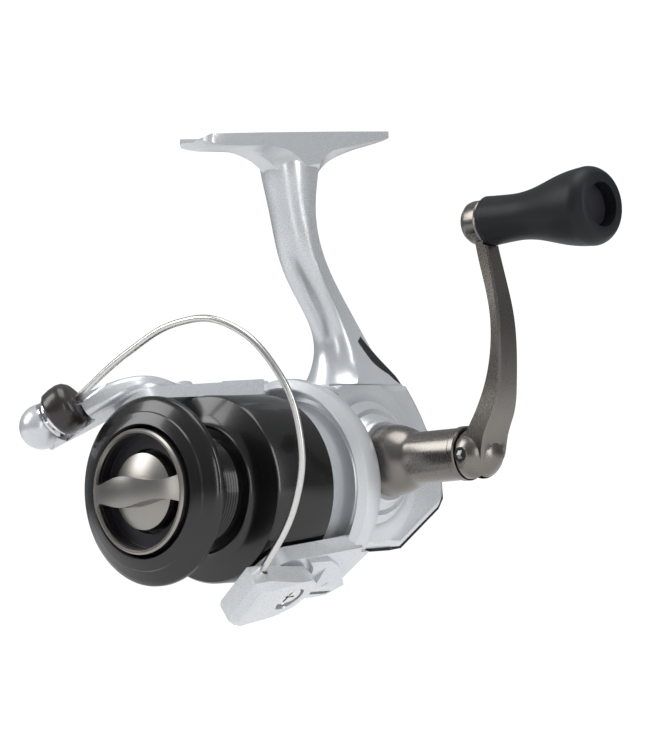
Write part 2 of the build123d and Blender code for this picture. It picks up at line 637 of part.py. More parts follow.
def rotor_nut():
    nut = extrude(Plane.XZ.offset(-ROTOR_FRONT) * RegularPolygon(5.2, 6), 2.4)
    return nut - rod_y(PINION_THREAD_RADIUS, ROTOR_FRONT - 3, ROTOR_FRONT + 1)


def nut_lock():
    """The small plate that keeps the rotor nut from turning back."""
    plate = block((-4.0, 4.0), (ROTOR_FRONT - 0.9, ROTOR_FRONT), (5.3, 11.0))
    return plate - rod_y(0.9, ROTOR_FRONT - 1, ROTOR_FRONT, 0, 8.6)


def nut_lock_screw():
    seat, top = ROTOR_FRONT - 0.9, ROTOR_FRONT - 2.0
    screw = rod_y(0.9, seat, ROTOR_FRONT, 0, 8.6) + rod_y(1.7, top, seat, 0, 8.6)
    return screw - block((-1.2, 1.2), (top, top + 0.6), (8.35, 8.85))


def bail_spring():
    """The spring in the roller arm that snaps the bail over."""
    path = Helix(1.6, 8.0, 0.9)
    start = path @ 0
    wire = sweep(Plane(origin=start, z_dir=path % 0) * Circle(0.22), path, is_frenet=True)
    return turned_rotor(Pos(SPRING_X, -17.6, SPRING_HEIGHT) * Rot(90, 0, 0) * wire)


def spring_guide():
    guide = rod_y(0.5, -26.8, -17.0, SPRING_X, SPRING_HEIGHT)
    return turned_rotor(guide)


def trip_lever():
    """The kick lever in the other arm that closes the bail as the rotor turns."""
    left, right = SPRING_X - 0.9, SPRING_X + 0.9
    lever = block((left, right), (-26.8, -17.4), (24.4, 25.4)) + rod_z(1.5, 24.4, 26.0, SPRING_X, -24.0)
    return turned_rotor(mirror(lever, Plane.XY))


# ---------------------------------------------------------------- bail


def along_roller(shape):
    """Carries a part drawn about the Z axis onto the line roller's slanted axis."""
    return Pos(*ROLLER_CENTRE) * Rot(0, 0, ROLLER_TILT) * Rot(0, 90, 0) * shape


def turned_roller(*profile):
    """A solid turned about the roller axis from (radius, distance towards the wire) corners."""
    face = make_face(Polyline(*profile, close=True))
    return along_roller(revolve(Plane.XZ * face, Axis.Z))


def lever_section(sideways, along, height, heading, width, thickness):
    """One rounded cross-section of the roller lever, square to its heading in degrees."""
    heading = radians(heading)
    across = (-sin(heading), cos(heading), 0)
    forward = (cos(heading), sin(heading), 0)
    frame = Plane(origin=(sideways, along, height), x_dir=across, z_dir=forward)
    return frame * RectangleRounded(width, thickness, min(width, thickness) * 0.36)


def bail_lever_a():
    """The long lever that carries the line roller, with a domed end."""
    pivot = rod_z(4.8, TONGUE_TOP + 0.1, LEVER_A_TOP, 0, BAIL_Y)
    arm = loft([
        lever_section(0.2, -38.0, 26.65, -90, 8.6, 2.9),
        lever_section(0.6, -44.0, 27.0, -92, 9.6, 3.4),
        lever_section(-0.4, -50.0, 28.2, -108, 9.8, 4.8),
        lever_section(-5.6, -55.0, 29.4, -140, 9.2, 6.0),
        lever_section(-12.4, -58.4, 30.6, -148, 8.6, 7.4),
        lever_section(-18.0, -63.0, 31.2, -118, 8.0, 9.0),
    ])
    dome = along_roller(Pos(0, 0, -6.1) * Sphere(5.3))
    shape = pivot + arm + dome
    shape -= along_roller(rod_z(6.3, ROLLER_SEAT, 5.1) + rod_z(1.6, 5, 12))
    shape -= along_roller(rod_z(1.2, -9.4, 2))
    shape -= rod_z(1.3, 24, 26.9, 0, BAIL_Y) + rod_z(2.5, 26.9, 29, 0, BAIL_Y)
    return turned_rotor(shape)


def line_roller():
    """The grooved chrome roller that the line runs over."""
    face = CAP_SEAT - 0.15
    profile = ((2.1, -3.7), (4.7, -3.7), (4.7, -3.3), (4.0, -2.9), (4.0, -2.6), (4.9, face - 0.3),
               (4.9, face),
               (2.1, face))
    return turned_rotor(turned_roller(*profile))


def roller_bushing():
    end = CAP_SEAT
    return turned_rotor(turned_roller((1.2, -3.75), (2.05, -3.75), (2.05, end), (1.2, end)))


def roller_screw():
    return turned_rotor(turned_roller((0, -9.4), (1.2, -9.4), (1.2, 1.5), (0, 1.5)))


def wire_cap():
    """The dark cone that joins the bail wire to the roller."""
    cap = turned_roller(
        (0, CAP_SEAT), (5.2, CAP_SEAT), (5.7, CAP_SEAT + 0.5), (5.9, 0.4), (5.8, 2.4), (5.4, 3.5),
        (4.6, 4.3),
        (3.4, 4.8), (0, 5.0),
    )
    bore = turned_roller((0, CAP_SEAT - 0.1), (1.2, CAP_SEAT - 0.1), (1.2, 1.5), (0, 1.5))
    return turned_rotor(cap - bore) - bail_wire()


def bail_wire():
    path = Spline(*WIRE_PATH)
    ring = Plane(origin=path @ 0, z_dir=path % 0) * Circle(WIRE_RADIUS)
    return turned_rotor(sweep(ring, path))


def bail_lever_b():
    """The short faceted lever at the far end of the wire."""
    outline = Polyline(
        (-6.6, -35.5), (-7.5, -42.0), (-8.6, -48.6), (-7.2, -51.2), (-5.2, -52.6), (7.6, -55.0), (8.4, -50.6),
        (7.4, -43.0),
        (6.9, -35.5), (4.6, -31.2), (0, -29.7), (-4.4, -31.2), close=True,
    )
    shape = plate_z(make_face(outline), LEVER_B_BOTTOM, LEVER_B_TOP)
    shape = chamfer(shape.faces().sort_by(Axis.Z)[-1].edges(), 1.6)
    # the outer face falls from the head of the wire to the pivot
    shape -= Pos(0, -50.0, LEVER_B_TOP) * Rot(-8, 0, 0) * block((-20, 20), (0, 40), (0, 10))
    shape -= rod_z(3.85, HEAD_FLOOR, LEVER_B_TOP, 0, BAIL_Y) + rod_z(1.3, 27, HEAD_FLOOR, 0, BAIL_Y)
    return turned_rotor(Rot(0, 180, 0) * mirror(shape, Plane.YZ)) - bail_wire()


def lever_screws():
    upper = cross_screw_z(1.2, 2.4, 22.9, 26.9, 27.9, 0, BAIL_Y) + rod_z(1.3, TONGUE_TOP + 0.1, 26.9, 0,
                                                                         BAIL_Y)
    lower = cross_screw_z(1.2, 3.2, 23.0, HEAD_FLOOR, HEAD_FLOOR + 1.2, 0, BAIL_Y)
    lower += rod_z(1.3, LEVER_B_BOTTOM + 0.1, HEAD_FLOOR, 0, BAIL_Y)
    return group(turned_rotor(upper), turned_rotor(Rot(0, 180, 0) * lower))


# ---------------------------------------------------------------- spool and drag


def spool():
    profile = [
        (SPOOL_BORE, -49.4), (11.0, -49.4), (11.0, -58.6), (14.9, -60.6), (14.9, -65.2), (15.3, -65.6),
        (15.8, -65.5), (17.9, -64.6), (18.1, -64.2), (21.2, -62.5), (FLANGE_RADIUS, -62.0),
        (FLANGE_RADIUS, -61.0), (21.2, -60.6), (13.4, -58.9), (ARBOR_RADIUS, -58.3),
    ]
    # fine grooves round the arbor
    grooves = 14
    first, last = -57.6, -46.4
    pitch = (last - first) / grooves
    for groove in range(grooves):
        y = first + groove * pitch
        profile += [(ARBOR_RADIUS, y), (ARBOR_RADIUS - 0.35, y + 0.4 * pitch),
                    (ARBOR_RADIUS, y + 0.8 * pitch)]
    profile += [
        (ARBOR_RADIUS, -45.6), (14.2, -45.4), (14.9, -45.8), (15.4, -45.2), (20.4, -43.5), (21.3, -43.2),
        (SKIRT_RADIUS, -42.6), (SKIRT_RADIUS, -24.6), (21.3, -24.1), (20.5, -24.1), (20.4, -24.4),
        (20.4, -41.2), (9.2, -41.2), (9.2, -40.2), (SPOOL_BORE, -40.2),
    ]
    return turned_y(*profile) - rod_y(0.4, -41.0, -40.2, 7.4, 2.0)


def line_clip():
    """The small clip on the skirt that holds the end of the line."""
    clip = rod_x(2.1, SKIRT_RADIUS - 0.2, SKIRT_RADIUS + 0.55, -33.5, 0)
    clip = chamfer(clip.edges().filter_by(GeomType.CIRCLE).sort_by(Axis.X)[-1], 0.3)
    return Rot(0, 70, 0) * (clip - rod_y(SKIRT_RADIUS, -40, -26))


def click_gear():
    """The toothed ring on the main shaft that the click pawl rides on."""
    face = gear_face(24, 0.5, 0) - Circle(SHAFT_RADIUS)
    return extrude(Plane.XZ.offset(39.2) * face, 0.9)


def click_pawl():
    """The pawl and its pin, fixed under the spool."""
    return block((6.7, 8.2), (-40.1, -39.4), (-1.0, 2.6)) + rod_y(0.4, -41.0, -40.1, 7.4, 2.0)


def spool_support():
    """The keyed washer pinned across the main shaft that the spool rests on."""
    support = turned_y((SHAFT_RADIUS, -39.2), (5.6, -39.2), (5.6, -37.6), (SHAFT_RADIUS, -37.6))
    return support - rod_x(0.6, -3.2, -1.5, -38.4) - rod_x(0.6, 1.5, 3.2, -38.4)


def keyed_hole(outer, front, rear):
    """A disc with the double-flat hole that keys it to the main shaft."""
    hole = rod_y(SHAFT_RADIUS + 0.02, front, rear) & block((-1.57, 1.57), (front, rear), (-3, 3))
    return rod_y(outer, front, rear) - hole


def friction_washers():
    """Felt washers, held by the spool."""
    places = ((-50.4, -49.4), (-52.3, -51.3), (-54.2, -53.2))
    return group(*[turned_y((2.4, a), (10.6, a), (10.6, b), (2.4, b)) for a, b in places])


def drag_washers():
    """Steel washers keyed to the main shaft, between the felts."""
    return group(keyed_hole(9.8, -51.25, -50.45), keyed_hole(9.8, -53.15, -52.35),
                 keyed_hole(9.8, -55.6, -54.25))


def washer_retainer():
    """The wire ring that keeps the drag washers in the spool."""
    ring = revolve(Pos(10.7, -56.4) * Circle(0.3), Axis.Y)
    return ring - block((-3, 3), (-58, -55), (8, 12))


def drag_knob():
    """The dark cup of the drag knob, inside the spool's lip."""
    cup = turned_y((0, -60.4), (9.6, -60.4), (9.6, -62.8), (12.9, -62.8), (12.9, -65.4), (14.1, -65.4),
                   (14.1, -61.4),
                   (10.6, -59.4), (7.4, -59.0), (7.4, -56.6), (5.6, -56.6), (5.6, -59.0), (0, -59.0))
    return cup - rod_y(SHAFT_RADIUS + 0.06, SHAFT_FRONT - 1, -56)


def drag_dial():
    """The satin ring, arched grip bar and domed hub that the fingers turn."""
    ring = turned_y(
        (12.95, -65.4), (12.95, -66.4), (13.3, -66.9), (13.8, -66.9), (14.2, -66.4), (14.2, -65.4),
    )
    half_end, half_narrow, half_middle, reach = 3.2, 2.1, 3.5, 13.4
    upper = Spline((-reach, half_end), (-9.5, half_narrow), (0, half_middle), (9.5, half_narrow),
                   (reach, half_end))
    lower = Spline((reach, -half_end), (9.5, -half_narrow), (0, -half_middle), (-9.5, -half_narrow),
                   (-reach, -half_end))
    bar_face = make_face([upper, Line(upper @ 1, lower @ 0), lower, Line(lower @ 1, upper @ 0)])
    bar = extrude(Plane.XZ.offset(62.9) * bar_face, 12.0)
    arch_radius = 18.4
    bar = bar & (Pos(0, arch_radius - 72.4, 0) * Sphere(arch_radius))
    bar = bar & rod_y(14.0, -74, -60)
    bar -= turned_y((12.9, -65.4), (15, -65.4), (15, -60), (12.9, -60))
    hub_radius = 8.7
    dome_radius = 21.0
    hub = rod_y(hub_radius, -68, -60.4) & (Pos(0, dome_radius - 66.8, 0) * Sphere(dome_radius))
    dial = ring + bar + hub
    return dial - rod_y(SHAFT_RADIUS + 0.06, SHAFT_FRONT - 0.1, -60) - rod_y(3.9, -63.2, -60)


def drag_nut():
    """The brass nut in the knob that runs on the main shaft's thread."""
    nut = extrude(Plane.XZ.offset(60.4) * RegularPolygon(3.8, 6), 2.4)
    return nut - rod_y(SHAFT_RADIUS + 0.06, -64, -59)


def drag_spring():
    path = Helix(1.15, 2.6, 4.4)
    wire = sweep(Plane(origin=path @ 0, z_dir=path % 0) * Circle(0.3), path, is_frenet=True)
    return Pos(0, -56.0, 0) * Rot(90, 0, 0) * wire


# ---------------------------------------------------------------- handle


def handle_shaft():
    """The rod that screws the handle into the drive gear's hollow shaft."""
    return rod_x(1.6, -17.2, 17.6, 0, HANDLE_Z)


def handle_cap():
    """The cap on the left end of the handle shaft."""
    cap = turned_x((-16.8, 1.6), (-16.8, 7.6), (-17.6, 8.0), (-20.2, 7.6), (-21.6, 6.4), (-22.2, 4.6),
                   (-22.2, 0),
                   (-17.2, 0), (-17.2, 1.6))
    return cap + turned_x((-16.8, 1.6), (-16.8, 3.4), (-15.5, 3.4), (-15.5, 1.6))


def handle_sleeve():
    """The flared sleeve from the body to the folding joint, with its hinge tongue."""
    rim = SLEEVE_RADIUS + 0.28
    flare = [
        Line((17.6, 0), (17.6, 7.9)), Line((17.6, 7.9), (18.1, 8.4)), Line((18.1, 8.4), (19.6, 8.4)),
        Spline((19.6, 8.4), (22.6, 8.0), (25.6, 6.8), (28.4, SLEEVE_RADIUS), tangents=[(1, 0), (1, 0)]),
        Line((28.4, SLEEVE_RADIUS), (SLEEVE_END - 2.0, SLEEVE_RADIUS)),
        Line((SLEEVE_END - 2.0, SLEEVE_RADIUS), (SLEEVE_END - 1.6, rim)),
        Line((SLEEVE_END - 1.6, rim), (SLEEVE_END - 0.3, rim)),
        Line((SLEEVE_END - 0.3, rim), (SLEEVE_END, SLEEVE_RADIUS)),
        Line((SLEEVE_END, SLEEVE_RADIUS), (SLEEVE_END, 0)), Line((SLEEVE_END, 0), (17.6, 0)),
    ]
    sleeve = Pos(0, 0, HANDLE_Z) * revolve(make_face(flare), Axis.X)
    # a round seat for the ball of the arm
    sleeve -= Pos(FOLD_X, 0, FOLD_Z) * Sphere(BALL_RADIUS + 0.25)
    sleeve += rod_y(4.4, -2.0, 2.0, FOLD_X, FOLD_Z)
    sleeve += block((36.6, FOLD_X), (-2.0, 2.0), (FOLD_Z - 2.4, FOLD_Z + 2.4))
    sleeve += turned_x((12.8, 1.6), (12.8, 3.4), (17.6, 3.4), (17.6, 1.6))
    return sleeve - rod_y(PIN_RADIUS + RUNNING_GAP, -3, 3, FOLD_X, FOLD_Z) - rod_x(1.6, 12, 17.6, 0,
                                                                                   HANDLE_Z)


def fold_pin():
    """The pin of the folding joint, fixed in the arm."""
    pin = rod_y(PIN_RADIUS, -5.2, 5.2, FOLD_X, FOLD_Z) + rod_y(PIN_HEAD_RADIUS, -6.2, -5.2, FOLD_X, FOLD_Z)
    socket = extrude(Plane.XZ.offset(5.5) * (Pos(FOLD_X, FOLD_Z) * RegularPolygon(1.1, 6)), 1.0)
    return pin - socket


def arm_level(z, inner, outer, width):
    """One level of the handle arm as a bevelled rectangle."""
    middle = (inner + outer) / 2
    bevel = 0.5
    half_x = (outer - inner) / 2
    half_y = width / 2
    corners = []
    for sx, sy in ((1, 1), (-1, 1), (-1, -1), (1, -1)):
        first = (middle + sx * half_x, sy * (half_y - bevel))
        second = (middle + sx * (half_x - bevel), sy * half_y)
        corners += [first, second] if sx * sy > 0 else [second, first]
    return Pos(0, 0, z) * make_face(Polyline(*corners, close=True))


def handle_arm():
    """The curved arm, from its ball at the folding joint to the collar under the knob."""
    ball = Pos(FOLD_X, 0, FOLD_Z) * Sphere(BALL_RADIUS)
    blade = loft([
        arm_level(1.8, 42.6, 48.4, 7.4),
        arm_level(4.6, 42.6, 49.9, 9.0),
        arm_level(8.6, 44.4, 51.0, 9.0),
        arm_level(13.0, 47.2, 53.3, 8.4),
        arm_level(20.0, 50.6, 55.2, 7.2),
        arm_level(28.0, 52.8, 56.0, 6.8),
        arm_level(35.0, 53.2, 56.0, 6.4),
        arm_level(43.0, 51.8, 55.0, 5.4),
        arm_level(50.0, 50.1, 53.7, 4.8),
        arm_level(55.6, 48.9, 52.3, 4.6),
    ])
    collar = turned_x(
        (47.2, 0), (47.2, 3.2), (47.6, 4.2), (48.5, 4.9), (49.4, 5.1), (51.9, 5.1), (52.3, 4.8), (52.3, 0),
        z=ARM_TOP_Z,
    )
    arm = ball + blade + collar
    # slot for the sleeve's tongue, open towards the sleeve and, when folded, downwards
    slot = rod_y(4.6, -2.15, 2.15, FOLD_X, FOLD_Z)
    slot += block((36, FOLD_X + 2.6), (-2.15, 2.15), (-4, FOLD_Z))
    slot += block((36, FOLD_X), (-2.15, 2.15), (-4, FOLD_Z + 2.6))
    arm -= slot + rod_y(PIN_RADIUS, -7, 5.2, FOLD_X, FOLD_Z) + rod_y(PIN_HEAD_RADIUS, -7, -5.2, FOLD_X,
                                                                     FOLD_Z)
    arm -= rod_x(6.0, KNOB_START - 0.2, 60, 0, ARM_TOP_Z)
    return arm - rod_x(2.0, 47, 53, 0, ARM_TOP_Z)


def knob_shaft():
    """The post riveted in the arm that the knob turns on."""
    post = rod_x(2.0, 47.2, 79.0, 0, ARM_TOP_Z) + rod_x(2.8, 46.7, 47.2, 0, ARM_TOP_Z)
    return post - rod_x(0.9, 74, 79, 0, ARM_TOP_Z)


def knob_screw():
    screw = rod_x(0.9, 74.2, 79.0, 0, ARM_TOP_Z) + rod_x(2.3, 79.0, 80.0, 0, ARM_TOP_Z)
    return screw - block((79.5, 80), (-1.4, 1.4), (ARM_TOP_Z - 0.25, ARM_TOP_Z + 0.25))


def knob_bushings():
    rings = []
    for start in (KNOB_START + 0.2, 74.0):
        rings.append(turned_x((start, 2.05), (start, 3.4), (start + 3.6, 3.4), (start + 3.6, 2.05),
                              z=ARM_TOP_Z))
    return group(*rings)


def handle_knob():
    """The soft grip, waisted near the arm and full at the end."""
    outer = Spline(
        (KNOB_START + 0.6, 5.8), (57.0, 5.55), (62.0, 5.4), (68.0, 6.2), (74.4, 7.9), (81.2, 8.95),
        tangents=[(1, -0.1), (1, 0.06)],
    )
    edge = [
        Line((KNOB_START, 0), (KNOB_START, 5.3)), Line((KNOB_START, 5.3), (KNOB_START + 0.6, 5.8)), outer,
        ThreePointArc((81.2, 8.95), (84.0, 8.5), (KNOB_END, 7.2)), Line((KNOB_END, 7.2), (KNOB_END, 0)),
        Line((KNOB_END, 0), (KNOB_START, 0)),
    ]
    knob = Pos(0, 0, ARM_TOP_Z) * revolve(make_face(edge), Axis.X)
    knob -= rod_x(KNOB_BORE, KNOB_START, 80, 0, ARM_TOP_Z) + rod_x(5.1, 77.8, KNOB_END, 0, ARM_TOP_Z)
    return knob - rod_x(3.4, KNOB_START, 56.4, 0, ARM_TOP_Z) - rod_x(3.4, 74.0, 78, 0, ARM_TOP_Z)


def knob_end_cap():
    """The plug pressed into the end of the knob."""
    return turned_x((80.4, 0), (80.4, 5.1), (82.2, 5.1), (82.5, 4.8), (82.5, 0), z=ARM_TOP_Z)


# ---------------------------------------------------------------- writing


PARTS = {
    "housing": housing,
    "side_cover": side_cover,
    "side_cover_screws": side_cover_screws,
    "rear_cover": rear_cover,
    "drive_bearings": lambda: group(bearing_x(-15.5, -12.0), bearing_x(9.0, 12.5)),
    "pinion_bearing": lambda: bearing_y(-22.1, -18.0),
    "pinion_bushing": lambda: turned_y((2.95, -7.9), (4.2, -7.9), (4.2, -9.2), (2.95, -9.2)),
    "clutch_ring": clutch_ring,
    "clutch_rollers": clutch_rollers,
    "clutch_plate": clutch_plate,
    "clutch_plate_screws": clutch_plate_screws,
    "guide_rods": guide_rods,
    "oscillation_gear": oscillation_gear,
    "drive_gear": drive_gear,
    "drive_shaft": drive_shaft,
    "handle_shaft": handle_shaft,
    "handle_cap": handle_cap,
    "handle_sleeve": handle_sleeve,
    "fold_pin": fold_pin,
    "handle_arm": handle_arm,
    "knob_shaft": knob_shaft,
    "knob_screw": knob_screw,
    "knob_bushings": knob_bushings,
    "handle_knob": handle_knob,
    "knob_end_cap": knob_end_cap,
    "pinion_gear": pinion_gear,
    "clutch_sleeve": clutch_sleeve,
    "rotor": lambda: turned_rotor(rotor()),
    "rotor_nut": rotor_nut,
    "nut_lock": nut_lock,
    "nut_lock_screw": nut_lock_screw,
    "arm_cover_a": arm_cover_a,
    "arm_cover_b": arm_cover_b,
    "arm_cover_screws": arm_cover_screws,
    "bail_spring": bail_spring,
    "spring_guide": spring_guide,
    "trip_lever": trip_lever,
    "bail_lever_a": bail_lever_a,
    "bail_lever_b": bail_lever_b,
    "lever_screws": lever_screws,
    "bail_wire": bail_wire,
    "wire_cap": wire_cap,
    "roller_bushing": roller_bushing,
    "roller_screw": roller_screw,
    "line_roller": line_roller,
    "main_shaft": main_shaft,
    "oscillation_slider": oscillation_slider,
    "slider_screw": slider_screw,
    "spool_support": spool_support,
    "click_pawl": click_pawl,
    "drag_washers": drag_washers,
    "spool": spool,
    "line_clip": line_clip,
    "click_gear": click_gear,
    "friction_washers": friction_washers,
    "washer_retainer": washer_retainer,
    "drag_knob": drag_knob,
    "drag_dial": drag_dial,
    "drag_nut": drag_nut,
    "drag_spring": drag_spring,
}

os.makedirs("parts", exist_ok=True)
to_seat = Pos(0, -SEAT_Y, -foot_top(SEAT_Y))
for name, make in PARTS.items():
    export_step(to_seat * make(), f"parts/{name}.step")
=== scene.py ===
import json
import math

import bpy
from mathutils import Matrix, Vector


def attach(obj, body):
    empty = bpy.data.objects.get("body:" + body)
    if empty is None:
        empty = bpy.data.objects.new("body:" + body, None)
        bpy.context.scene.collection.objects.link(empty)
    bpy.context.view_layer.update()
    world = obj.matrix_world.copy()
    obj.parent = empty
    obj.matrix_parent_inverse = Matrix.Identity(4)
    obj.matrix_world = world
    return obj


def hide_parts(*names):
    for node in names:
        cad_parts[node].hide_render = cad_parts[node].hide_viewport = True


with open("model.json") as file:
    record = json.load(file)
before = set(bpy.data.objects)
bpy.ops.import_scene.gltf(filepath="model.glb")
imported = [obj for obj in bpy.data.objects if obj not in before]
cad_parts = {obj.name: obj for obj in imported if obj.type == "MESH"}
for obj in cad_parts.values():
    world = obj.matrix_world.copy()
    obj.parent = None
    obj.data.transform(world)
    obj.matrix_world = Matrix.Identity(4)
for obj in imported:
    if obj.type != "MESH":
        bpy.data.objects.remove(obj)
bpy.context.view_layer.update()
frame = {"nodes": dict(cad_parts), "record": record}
nodes = frame["nodes"]

# A point on the main shaft's axis, straight below the handle's; everything is placed from it.
SHAFT = Vector((0, 0.0098, -0.08388))

# The photo's camera: where it looks, from which side, and how far away.
CAMERA_TARGET = SHAFT + Vector((0.00165, -0.00254, 0.02643))
CAMERA_DISTANCE = 0.8277
CAMERA_AZIMUTH = math.radians(41.48)
CAMERA_PITCH = math.radians(-3.54)
CAMERA_ROLL = math.radians(-3.64)
CAMERA_LENS = 166.5

CREASE_ANGLE = math.radians(32)
ROUND_CREASE_ANGLE = math.radians(80)  # for small round parts, whose facets meet at wide angles
ROUND_NODES = ("wire_cap", "bail_spring", "drag_spring", "handle_knob", "line_clip")
WELD_DISTANCE = 1e-6

FLOOR_HEIGHT = -0.13  # measured up from the main shaft
FLOOR_SIZE = 8
FLOOR_GLOW = 0.7  # added for the camera only, so that the floor is as pale as the backdrop

NOISE_LOW, NOISE_HIGH = 0.3, 0.7  # the span that most noise values lie in
GRAIN_HEIGHT = 0.0001
GRAIN_ROUGHNESS = 0.02  # how far the grain moves the roughness either way
COAT_ROUGHNESS = 0.08

# Where a Mix node keeps its two colours and their mix.
FIRST_COLOUR, SECOND_COLOUR, MIXED_COLOUR = 6, 7, 2


# ---------------------------------------------------------------- node helpers


def new_material(name):
    """A material, its tree, its Principled shader and coordinates measured from the shaft."""
    material = bpy.data.materials.new(name)
    material.use_nodes = True
    tree = material.node_tree
    tree.nodes.clear()
    output = tree.nodes.new("ShaderNodeOutputMaterial")
    shader = tree.nodes.new("ShaderNodeBsdfPrincipled")
    tree.links.new(shader.outputs["BSDF"], output.inputs["Surface"])
    about_shaft = tree.nodes.new("ShaderNodeMapping")
    about_shaft.inputs["Location"].default_value = -SHAFT
    tree.links.new(tree.nodes.new("ShaderNodeTexCoord").outputs["Object"], about_shaft.inputs["Vector"])
    return material, tree, shader, about_shaft.outputs["Vector"]


def noise(tree, vector, scale, detail=4.0):
    """A cloudy value; a larger scale is finer and more detail is rougher."""
    node = tree.nodes.new("ShaderNodeTexNoise")
    node.inputs["Scale"].default_value = scale
    node.inputs["Detail"].default_value = detail
    tree.links.new(vector, node.inputs["Vector"])
    return node.outputs["Fac"]


def stretched(tree, vector, scales):
    """Coordinates scaled differently along each axis, for brushed grain."""
    node = tree.nodes.new("ShaderNodeMapping")
    node.inputs["Scale"].default_value = scales
    tree.links.new(vector, node.inputs["Vector"])
    return node.outputs["Vector"]


def turned(tree, vector, axis):
    """Coordinates (distance from the axis, place along it): constant around a turned part."""
    split = tree.nodes.new("ShaderNodeSeparateXYZ")
    tree.links.new(vector, split.inputs[0])
    others = [letter for letter in "XYZ" if letter != axis]
    flat = tree.nodes.new("ShaderNodeCombineXYZ")
    for slot_name, letter in zip("XY", others):
        tree.links.new(split.outputs[letter], flat.inputs[slot_name])
    length = tree.nodes.new("ShaderNodeVectorMath")
    length.operation = "LENGTH"
    tree.links.new(flat.outputs[0], length.inputs[0])
    joined = tree.nodes.new("ShaderNodeCombineXYZ")
    tree.links.new(length.outputs["Value"], joined.inputs["X"])
    tree.links.new(split.outputs[axis], joined.inputs["Y"])
    return joined.outputs[0]


def between(tree, factor, low, high, low_in=NOISE_LOW, high_in=NOISE_HIGH):
    """Maps a value from its own span, by default that of noise, onto the span from low to high."""
    node = tree.nodes.new("ShaderNodeMapRange")
    node.inputs["From Min"].default_value = low_in
    node.inputs["From Max"].default_value = high_in
    node.inputs["To Min"].default_value = low
    node.inputs["To Max"].default_value = high
    tree.links.new(factor, node.inputs["Value"])
    return node.outputs["Result"]


def tinted(tree, factor, first, second):
    """A colour that wanders between two colours."""
    node = tree.nodes.new("ShaderNodeMix")
    node.data_type = "RGBA"
    node.inputs[FIRST_COLOUR].default_value = (*first, 1)
    node.inputs[SECOND_COLOUR].default_value = (*second, 1)
    tree.links.new(factor, node.inputs[0])
    return node.outputs[MIXED_COLOUR]


def bump(tree, shader, height, strength):
    """Lifts the surface by the height value, for fine grain."""
    node = tree.nodes.new("ShaderNodeBump")
    node.inputs["Strength"].default_value = strength
    node.inputs["Distance"].default_value = GRAIN_HEIGHT
    tree.links.new(height, node.inputs["Height"])
    tree.links.new(node.outputs["Normal"], shader.inputs["Normal"])


def surface(name, colours, roughness, grain, metallic=1.0, coat=0.0, grain_strength=0.06, smudge=60.0,
            specular=0.5):
    """A solid surface: tint and roughness wander over it, and fine grain lifts it.

    colours and roughness are pairs; grain is a function from (tree, coordinates) to a value."""
    material, tree, shader, coordinates = new_material(name)
    cloud = noise(tree, coordinates, smudge, 5.0)
    shader.inputs["Metallic"].default_value = metallic
    shader.inputs["Specular IOR Level"].default_value = specular
    shader.inputs["Coat Weight"].default_value = coat
    shader.inputs["Coat Roughness"].default_value = COAT_ROUGHNESS
    tree.links.new(tinted(tree, between(tree, cloud, 0, 1), *colours), shader.inputs["Base Color"])
    fine = grain(tree, coordinates)
    mixed = tree.nodes.new("ShaderNodeMath")
    mixed.operation = "ADD"
    tree.links.new(between(tree, cloud, roughness[0], roughness[1]), mixed.inputs[0])
    tree.links.new(between(tree, fine, -GRAIN_ROUGHNESS, GRAIN_ROUGHNESS), mixed.inputs[1])
    tree.links.new(mixed.outputs[0], shader.inputs["Roughness"])
    bump(tree, shader, fine, grain_strength)
    return material


def speckle(scale):
    """Even fine grain, as in paint flakes or cast metal."""
    return lambda tree, coordinates: noise(tree, coordinates, scale, 3.0)


def brushed(scales):
    """Straight brushing along the axis with the small scale."""
    return lambda tree, coordinates: noise(tree, stretched(tree, coordinates, scales), 1.0, 4.0)


def lathe_marks(axis, scale):
    """Fine rings left by turning."""
    return lambda tree, coordinates: noise(tree, turned(tree, coordinates, axis), scale, 3.0)


# ---------------------------------------------------------------- materials


def silver_paint():
    return surface("silver_paint", colours=((0.63, 0.65, 0.67), (0.655, 0.675, 0.695)),
                   roughness=(0.27, 0.30), grain=speckle(9000),
                   metallic=0.5, coat=0.4, grain_strength=0.03, smudge=22.0)


def black_trim():
    return surface("black_trim", colours=((0.010, 0.010, 0.012), (0.018, 0.018, 0.021)),
                   roughness=(0.10, 0.18), grain=speckle(2500),
                   metallic=0.0, coat=0.6, grain_strength=0.03)


def spool_metal():
    return surface("spool_metal", colours=((0.038, 0.0375, 0.038), (0.045, 0.044, 0.0435)),
                   roughness=(0.21, 0.24), grain=lathe_marks("Y", 5200),
                   metallic=0.9, coat=0.3, grain_strength=0.03, smudge=25.0)


def drag_dark():
    return surface("drag_dark", colours=((0.014, 0.014, 0.018), (0.022, 0.021, 0.026)),
                   roughness=(0.34, 0.42), grain=lathe_marks("Y", 4200), metallic=0.2)


def pewter():
    return surface("pewter", colours=((0.27, 0.26, 0.24), (0.34, 0.325, 0.30)),
                   roughness=(0.27, 0.34), grain=brushed((500, 6000, 5200)))


def handle_metal():
    return surface("handle_metal", colours=((0.175, 0.163, 0.148), (0.215, 0.20, 0.182)),
                   roughness=(0.24, 0.30), grain=brushed((5200, 5200, 900)),
                   coat=0.15, grain_strength=0.006)


def knob_rubber():
    return surface("knob_rubber", colours=((0.004, 0.005, 0.007), (0.007, 0.008, 0.010)),
                   roughness=(0.42, 0.50), grain=speckle(5200),
                   metallic=0.0, grain_strength=0.15, specular=0.28)


def stainless():
    return surface("stainless", colours=((0.60, 0.59, 0.57), (0.66, 0.65, 0.63)),
                   roughness=(0.27, 0.30), grain=speckle(700), grain_strength=0.002)


def chrome():
    return surface("chrome", colours=((0.70, 0.70, 0.71), (0.78, 0.78, 0.78)),
                   roughness=(0.07, 0.13), grain=speckle(6000), grain_strength=0.03)


